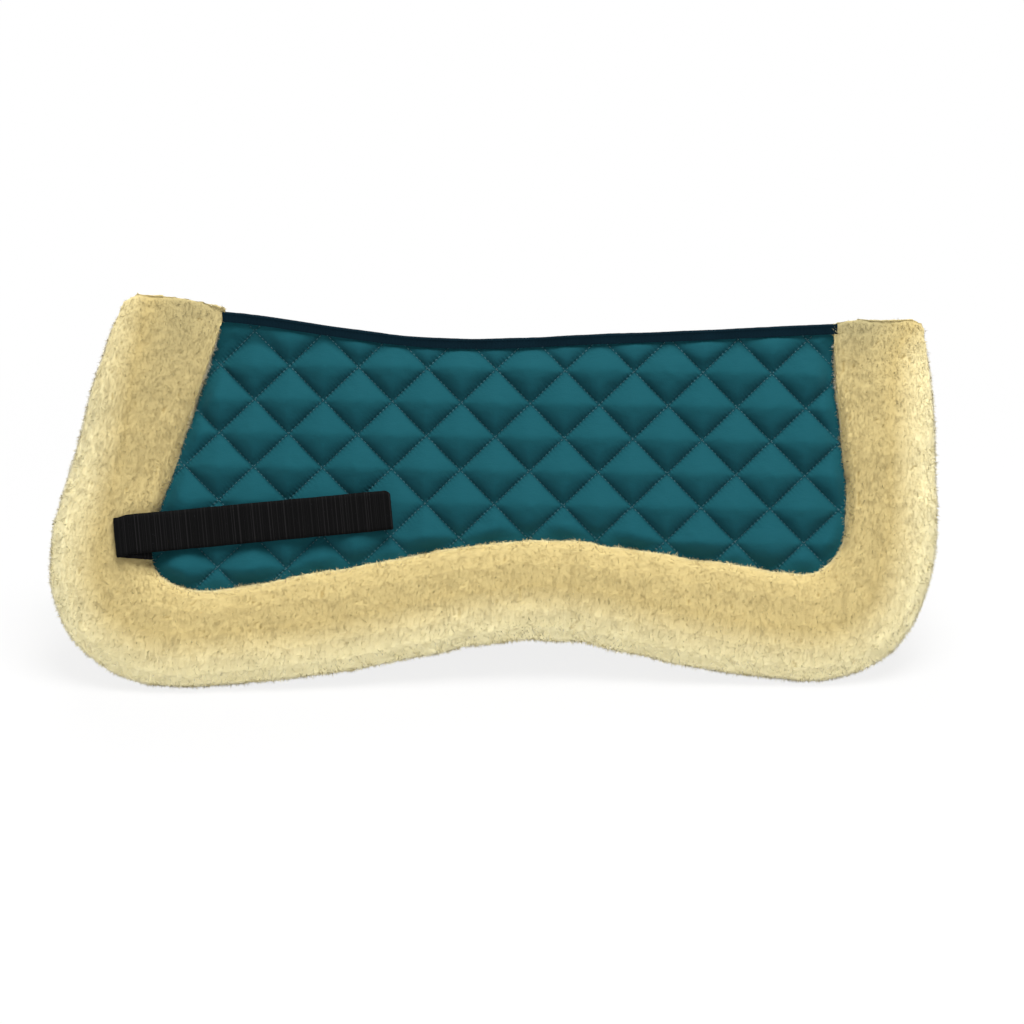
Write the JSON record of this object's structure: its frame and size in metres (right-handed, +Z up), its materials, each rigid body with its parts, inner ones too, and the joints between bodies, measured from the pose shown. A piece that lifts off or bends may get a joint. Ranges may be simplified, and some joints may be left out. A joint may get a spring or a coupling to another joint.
{
  "type": "half pad",
  "caption": "Contoured half pad for under a saddle: two quilted sides with foam inside, fleece lining and rolled fleece edges, joined at a bound spine seam, with elastic straps.",
  "frame": {"origin": "on the floor, under the middle of the pad, midway between its two sides", "axes": "+X to the rear of the pad along its spine, +Z up, -Y towards the near side"},
  "size_m": [0.5641, 0.1666, 0.2397],
  "materials": {
    "quilted_cotton": "matte",
    "fleece_roll": "matte",
    "fleece_lining": "matte",
    "foam": "matte",
    "elastic": "matte",
    "hook_tape": "matte",
    "loop_tape": "matte",
    "binding_tape": "matte"
  },
  "bodies": {
    "near_side": {"near_quilted_shell": "quilted_cotton", "near_edge_roll": "fleece_roll", "near_foam_core": "foam", "near_fleece_lining": "fleece_lining", "near_strap_base": "elastic", "near_strap_loop_patch": "loop_tape", "spine_binding": "binding_tape"},
    "off_side": {"off_quilted_shell": "quilted_cotton", "off_edge_roll": "fleece_roll", "off_foam_core": "foam", "off_fleece_lining": "fleece_lining", "off_strap_base": "elastic", "off_strap_loop_patch": "loop_tape"},
    "near_strap": {"near_strap_tail": "elastic", "near_strap_hook_patch": "hook_tape"},
    "off_strap": {"off_strap_tail": "elastic", "off_strap_hook_patch": "hook_tape"}
  },
  "joints": [
    {"name": "spine_fold", "type": "hinge", "parent": "near_side", "child": "off_side", "pos_m": [0, 0, 0.23114], "axis": [0.999, 0, -0.0448], "range_deg": [0, 136], "deforming": ["spine_binding"]},
    {"name": "near_strap_lift", "type": "hinge", "parent": "near_side", "child": "near_strap", "pos_m": [-0.235, -0.05611, 0.09788], "axis": [0.0837, -0.3733, -0.9239], "range_deg": [0, 160]},
    {"name": "off_strap_lift", "type": "hinge", "parent": "off_side", "child": "off_strap", "pos_m": [-0.235, 0.05611, 0.09788], "axis": [-0.0837, -0.3733, 0.9239], "range_deg": [0, 160]}
  ]
}
